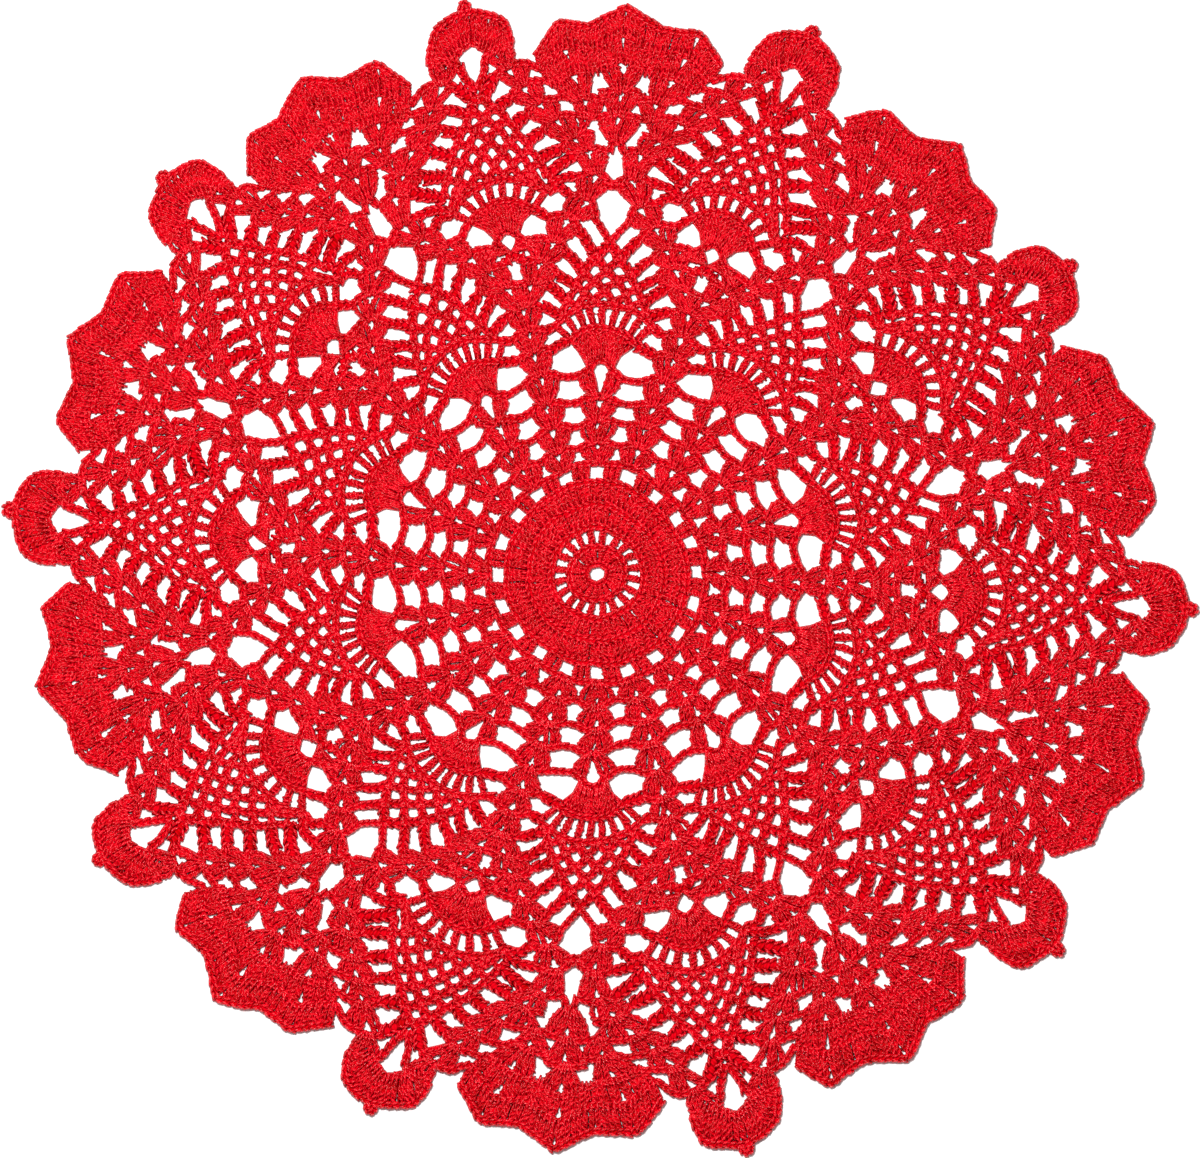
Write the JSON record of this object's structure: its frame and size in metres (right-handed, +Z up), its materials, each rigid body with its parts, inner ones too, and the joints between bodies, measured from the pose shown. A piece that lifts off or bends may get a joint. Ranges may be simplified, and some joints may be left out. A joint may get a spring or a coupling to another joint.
{
  "type": "lace doily",
  "caption": "Round crocheted lace doily in red cotton, with rings of pineapple motifs, fans and pointed tips, lying flat on a table as a mat.",
  "frame": {"origin": "under the middle of the doily's box, on the surface that it lies on", "axes": "+Z up, out of the lace's face; +Y towards the picture's top; +X towards its right"},
  "size_m": [0.453, 0.4388, 0.002],
  "materials": {
    "cotton": "mercerised crochet cotton with a soft sheen"
  },
  "bodies": {
    "root": {"doily": "cotton"}
  },
  "joints": []
}
